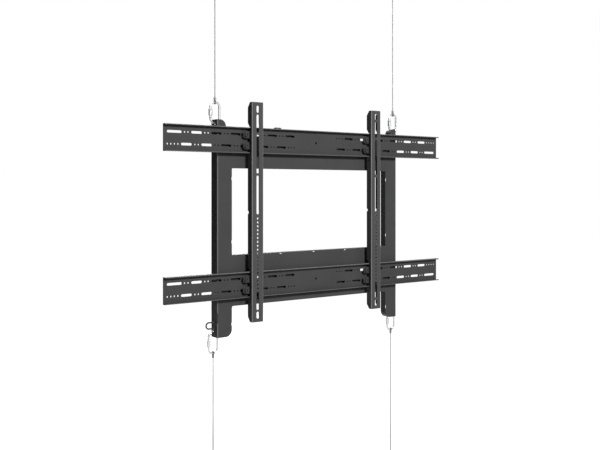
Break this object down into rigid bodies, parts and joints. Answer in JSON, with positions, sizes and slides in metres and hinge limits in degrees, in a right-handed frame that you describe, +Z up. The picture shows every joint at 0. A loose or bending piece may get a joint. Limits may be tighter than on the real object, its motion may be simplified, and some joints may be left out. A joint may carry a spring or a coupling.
{
  "type": "cable-suspended floor-to-ceiling display mount",
  "caption": "Black steel frame hung between ceiling and floor wires by snap hooks, with slotted rails and sliding channel arms that carry a flat display.",
  "frame": {"origin": "ceiling plane, centred between the fixing holes of both ceiling plates", "axes": "+X right along the rails, -Y towards the viewer of the display, +Z up"},
  "size_m": [1.11, 0.099, 1.715],
  "materials": {
    "black_powder_coat": "fine satin powder coat",
    "black_fastener": "black zinc",
    "black_wire": "satin",
    "black_plastic": "matte",
    "vial": "clear tinted",
    "bright_zinc": "bright zinc plate",
    "steel_rope": "stranded steel rope",
    "ferrule": "pressed",
    "zinc_plate": "zinc plate"
  },
  "bodies": {
    "mount": {"back_frame": "black_powder_coat", "upper_rail": "black_powder_coat", "lower_rail": "black_powder_coat", "ceiling_plate_left": "zinc_plate", "floor_plate_left": "zinc_plate", "ceiling_plate_right": "zinc_plate", "floor_plate_right": "zinc_plate", "rail_bolts": "black_fastener", "rail_spacers": "black_fastener", "rail_nuts": "black_fastener", "loop_nuts": "black_fastener", "level_holder": "black_plastic", "level_vial": "vial", "cable_loop": "black_wire", "hook_upper_left": "bright_zinc", "gate_pin_upper_left": "bright_zinc", "wire_upper_left": "steel_rope", "wire_eye_upper_left": "steel_rope", "wire_ferrule_upper_left": "ferrule", "hook_lower_left": "bright_zinc", "gate_pin_lower_left": "bright_zinc", "wire_lower_left": "steel_rope", "wire_eye_lower_left": "steel_rope", "wire_ferrule_lower_left": "ferrule", "hook_upper_right": "bright_zinc", "gate_pin_upper_right": "bright_zinc", "wire_upper_right": "steel_rope", "wire_eye_upper_right": "steel_rope", "wire_ferrule_upper_right": "ferrule", "hook_lower_right": "bright_zinc", "gate_pin_lower_right": "bright_zinc", "wire_lower_right": "steel_rope", "wire_eye_lower_right": "steel_rope", "wire_ferrule_lower_right": "ferrule"},
    "left_arm": {"left_arm": "black_powder_coat", "left_arm_lock_upper": "black_powder_coat", "left_arm_lock_lower": "black_powder_coat", "left_arm_screws": "black_fastener", "left_arm_washers": "black_fastener", "left_arm_rivets": "black_fastener"},
    "right_arm": {"right_arm": "black_powder_coat", "right_arm_lock_upper": "black_powder_coat", "right_arm_lock_lower": "black_powder_coat", "right_arm_screws": "black_fastener", "right_arm_washers": "black_fastener", "right_arm_rivets": "black_fastener"},
    "gate_upper_left": {"gate_upper_left": "bright_zinc"},
    "sleeve_upper_left": {"sleeve_upper_left": "bright_zinc"},
    "gate_lower_left": {"gate_lower_left": "bright_zinc"},
    "sleeve_lower_left": {"sleeve_lower_left": "bright_zinc"},
    "gate_upper_right": {"gate_upper_right": "bright_zinc"},
    "sleeve_upper_right": {"sleeve_upper_right": "bright_zinc"},
    "gate_lower_right": {"gate_lower_right": "bright_zinc"},
    "sleeve_lower_right": {"sleeve_lower_right": "bright_zinc"}
  },
  "joints": [
    {"name": "left_arm_slide", "type": "slide", "parent": "mount", "child": "left_arm", "axis": [1, 0, 0], "range_m": [-0.26, 0.2]},
    {"name": "right_arm_slide", "type": "slide", "parent": "mount", "child": "right_arm", "axis": [1, 0, 0], "range_m": [-0.19, 0.26]},
    {"name": "gate_upper_left_hinge", "type": "hinge", "parent": "mount", "child": "gate_upper_left", "pos_m": [-0.38125, 0, -0.49405], "axis": [0, 1, 0], "range_deg": [0, 25], "stiffness_Nm_per_rad": 0.06, "springref_deg": -20.05},
    {"name": "sleeve_upper_left_slide", "type": "slide", "parent": "gate_upper_left", "child": "sleeve_upper_left", "axis": [0, 0, 1], "range_m": [0, 0.006]},
    {"name": "gate_lower_left_hinge", "type": "hinge", "parent": "mount", "child": "gate_lower_left", "pos_m": [-0.38125, 0.011, -1.16895], "axis": [0, -1, 0], "range_deg": [0, 25], "stiffness_Nm_per_rad": 0.06, "springref_deg": -20.05},
    {"name": "sleeve_lower_left_slide", "type": "slide", "parent": "gate_lower_left", "child": "sleeve_lower_left", "axis": [0, 0, -1], "range_m": [0, 0.006]},
    {"name": "gate_upper_right_hinge", "type": "hinge", "parent": "mount", "child": "gate_upper_right", "pos_m": [0.35025, 0, -0.49405], "axis": [0, 1, 0], "range_deg": [0, 25], "stiffness_Nm_per_rad": 0.06, "springref_deg": -20.05},
    {"name": "sleeve_upper_right_slide", "type": "slide", "parent": "gate_upper_right", "child": "sleeve_upper_right", "axis": [0, 0, 1], "range_m": [0, 0.006]},
    {"name": "gate_lower_right_hinge", "type": "hinge", "parent": "mount", "child": "gate_lower_right", "pos_m": [0.35025, 0.011, -1.16895], "axis": [0, -1, 0], "range_deg": [0, 25], "stiffness_Nm_per_rad": 0.06, "springref_deg": -20.05},
    {"name": "sleeve_lower_right_slide", "type": "slide", "parent": "gate_lower_right", "child": "sleeve_lower_right", "axis": [0, 0, -1], "range_m": [0, 0.006]}
  ]
}
